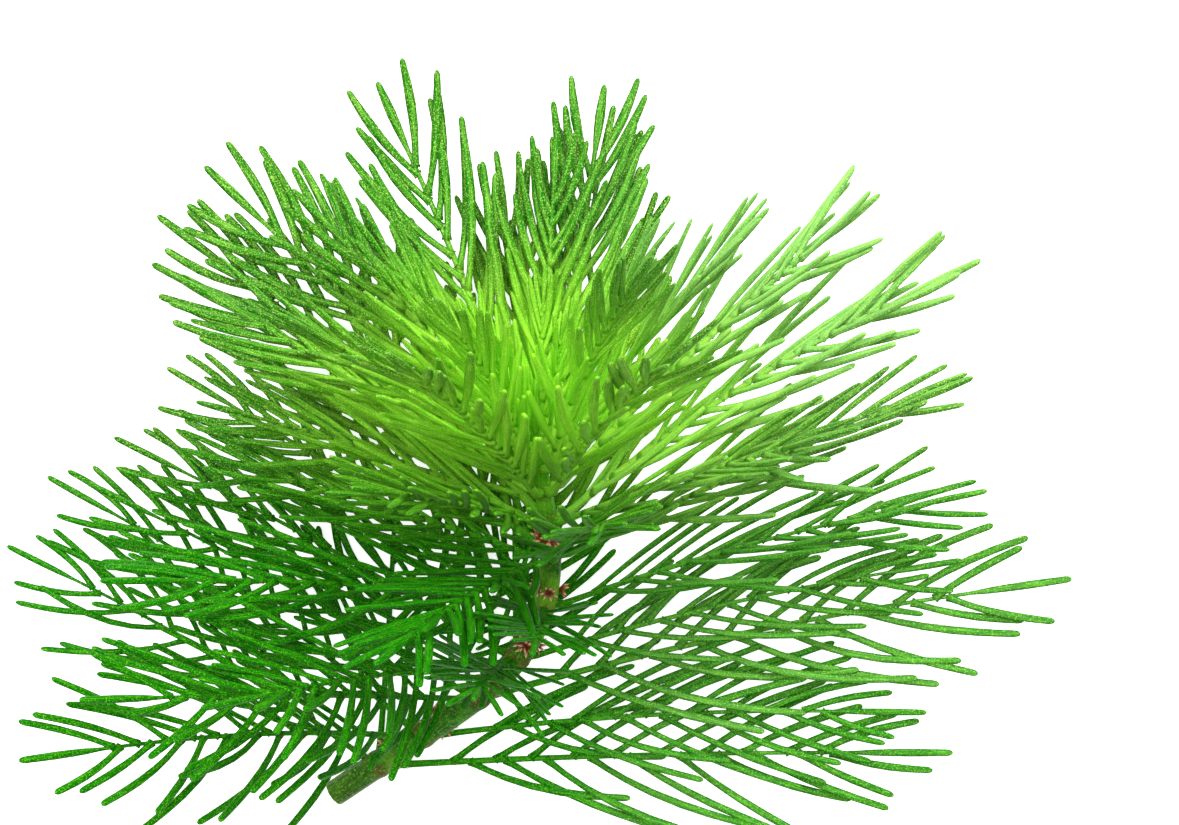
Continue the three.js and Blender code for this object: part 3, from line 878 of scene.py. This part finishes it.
def scale_tufts(age):
    tissue = Tissue()
    whorl = Whorl(age)
    share = stem_share(age)
    _, direction = stem.at(share)
    for i, given in enumerate(WHORLS[age - 1]):
        out = square(whorl.outward(given[0]), direction)
        side = direction.cross(out)
        foot = whorl.centre + direction * TUFT_RISE + out * (stem_radius(share) * TUFT_SINK)
        for j in range(SCALES):
            seed = age * 50 + i * 9 + j
            evenly = 2 * j / (SCALES - 1) - 1
            angle = math.radians(SCALE_SPREAD * evenly + SCALE_ANGLE_SPREAD * vary(seed))
            lean = SCALE_LEAN + SCALE_LEAN_SPREAD * vary(seed + 0.3)
            across = side * (STAR_BREADTH * math.sin(angle))
            heading = (direction * math.cos(angle) + across + out * lean).normalized()
            length = SCALE_LENGTH * (1 + SCALE_LENGTH_SPREAD * vary(seed + 0.6))

            def half(part):
                return SCALE_HALF * segment_half(part, length, 0)

            scale = Path(foot, length, SCALE_STEPS, 0, lambda part: heading.copy())
            sweep(tissue, scale, out, 0, half, lambda part: part, SEGMENT_STATIONS, SCALE_DEPTH)
    return tissue


SCALE_FOOT = paint(112, 28, 8)
SCALE_END = paint(250, 196, 150)
SCALE_EDGE = paint(120, 36, 12)
SCALE_RELIEF = 0.02 * MM


def scale_finish():
    finish = Finish("scale_tissue", Subsurface_Weight=0.1, Subsurface_Scale=0.0004)
    ripe, across = finish.mark("ripe"), finish.mark("across")
    grain = finish.noise(scale=6000)
    color = finish.blend(ripe.between(0.4, 0.95), SCALE_FOOT, SCALE_END)
    color = finish.blend(abs(across) ** 2 * 0.6, color, SCALE_EDGE)
    return finish.wear(color, 0.4 + grain * 0.2, grain, SCALE_RELIEF)


scales = scale_finish()
for age in AGES[SCALES_FROM - 1 :]:
    scale_tufts(age).piece(f"scales_whorl_{age:02d}", scales, "scales")

# The table: a plain pale surface that reaches out past every view. It gives back a little light of
# its own, so that it looks as white as a lit backdrop.
TABLE_HALF = 1.5
TABLE_WHITE = (0.86, 0.86, 0.86, 1)
TABLE_LIGHT = (1, 1, 1, 1)
TABLE_GLOW = 0.75


def table():
    mesh = bpy.data.meshes.new("table")
    corners = [(-TABLE_HALF, -TABLE_HALF, 0), (TABLE_HALF, -TABLE_HALF, 0)]
    corners += [(TABLE_HALF, TABLE_HALF, 0), (-TABLE_HALF, TABLE_HALF, 0)]
    mesh.from_pydata(corners, [], [(0, 1, 2, 3)])
    finish = Finish(
        "pale_table", Base_Color=TABLE_WHITE, Roughness=0.8, Emission_Color=TABLE_LIGHT,
        Emission_Strength=TABLE_GLOW,
    )
    mesh.materials.append(finish.material)
    made = bpy.data.objects.new("table", mesh)
    bpy.context.scene.collection.objects.link(made)


table()

# The light: a bright even room, one large soft lamp beyond the growing tip and a weaker one above.
# Both lamps face the middle of the shoot.
ROOM_LIGHT = 0.42
shoot_middle = (cad_box[0] + cad_box[1]) / 2


def bright_room():
    world = bpy.data.worlds.new("room")
    world.use_nodes = True
    background = world.node_tree.nodes["Background"]
    background.inputs["Color"].default_value = (1, 1, 1, 1)
    background.inputs["Strength"].default_value = ROOM_LIGHT
    bpy.context.scene.world = world


def soft_lamp(name, place, size, watts):
    lamp = bpy.data.lights.new(name, "AREA")
    lamp.size = size
    lamp.energy = watts
    made = bpy.data.objects.new(name, lamp)
    made.location = shoot_middle + Vector(place)
    made.rotation_euler = (-Vector(place)).to_track_quat("-Z", "Y").to_euler()
    bpy.context.scene.collection.objects.link(made)


bright_room()
soft_lamp("window", place=(0.22, 0.36, 0.4), size=0.25, watts=4.2)
soft_lamp("room_side", place=(-0.12, 0.08, 0.45), size=0.3, watts=3.0)

# The camera looks down on the lying shoot, as the photograph looks at the upright one from the side.
# Its lens and its distance make the shoot fill the frame as it does there.
LOOKS_AT = Vector((4.613, 6.932, 19.995)) * MM
CAMERA_AWAY = 0.26
CAMERA_TILT = 0.035  # how far its line leans towards +Y


def camera():
    lens = bpy.data.cameras.new("camera")
    lens.lens = 95
    lens.sensor_width = 36
    lens.clip_start = 0.01
    made = bpy.data.objects.new("camera", lens)
    bpy.context.scene.collection.objects.link(made)
    back = Vector((0, CAMERA_TILT, 1)).normalized()
    right = Vector((0, 1, 0)).cross(back).normalized()
    turned = Matrix((right, back.cross(right), back)).transposed()
    made.matrix_world = Matrix.LocRotScale(LOOKS_AT + back * CAMERA_AWAY, turned, None)
    bpy.context.scene.camera = made


camera()
bpy.context.scene.view_settings.view_transform = "Standard"
